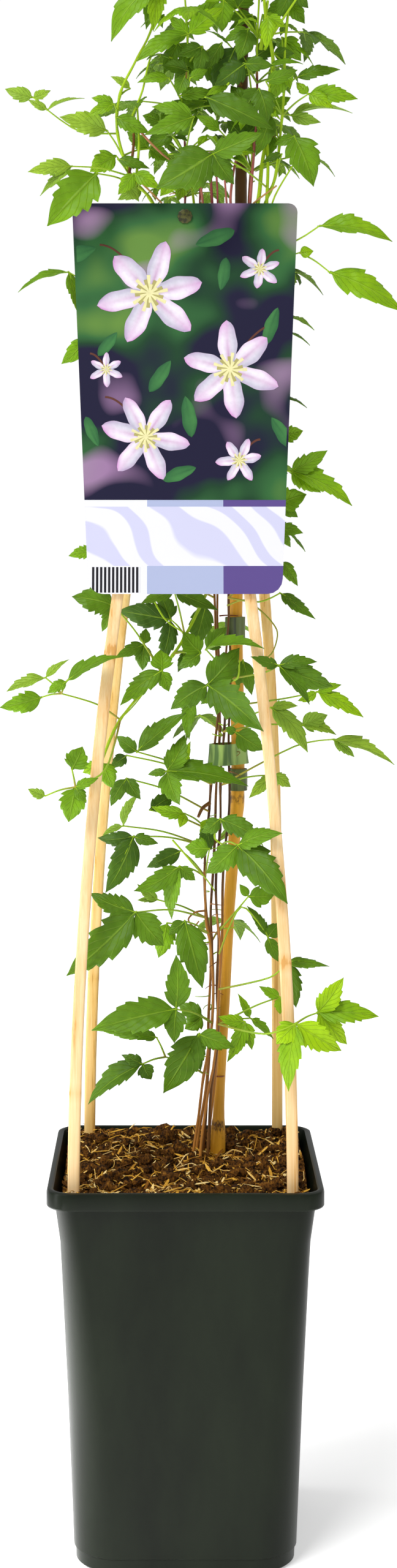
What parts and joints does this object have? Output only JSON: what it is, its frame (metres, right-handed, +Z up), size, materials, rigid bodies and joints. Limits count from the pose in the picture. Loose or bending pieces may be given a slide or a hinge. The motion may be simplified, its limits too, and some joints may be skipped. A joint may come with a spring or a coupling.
{
  "type": "potted climbing plant on bamboo trellis",
  "caption": "Young clematis climbing a slim bamboo slat trellis and cane in a tall square nursery pot, with a tapered picture label pinned to the trellis.",
  "frame": {"origin": "middle of the pot's base, where it stands", "axes": "+Z up, -Y towards the side that carries the label, +X to its right"},
  "size_m": [0.2254, 0.1561, 0.912],
  "materials": {
    "pot_plastic": "dark green-black moulded plastic with a soft sheen",
    "potting_mix": "dark moist peat with pale bark chips and fibres",
    "slat_bamboo": "pale split bamboo with fine grain, unvarnished",
    "cane_bamboo": "golden natural bamboo cane with darker joints and specks",
    "band_plastic": "soft green tying band, satin",
    "label_card": "printed plastic card with a floral picture over pale and purple panels, light gloss",
    "pin_plastic": "dark olive plastic push pin",
    "foliage": "fresh green leaves, veined and softly waxy, on thin green to red-brown stems"
  },
  "bodies": {
    "root": {"pot": "pot_plastic", "potting_mix": "potting_mix", "slat_front_left": "slat_bamboo", "slat_front_right": "slat_bamboo", "slat_back_left": "slat_bamboo", "slat_back_right": "slat_bamboo", "cane": "cane_bamboo", "trellis_tie": "band_plastic", "band_low": "band_plastic", "band_high": "band_plastic", "cane_tape": "band_plastic", "label": "label_card", "label_pin": "pin_plastic", "vine_1": "foliage", "vine_2": "foliage", "vine_3": "foliage", "vine_4": "foliage", "vine_5": "foliage", "vine_6": "foliage"}
  },
  "joints": []
}
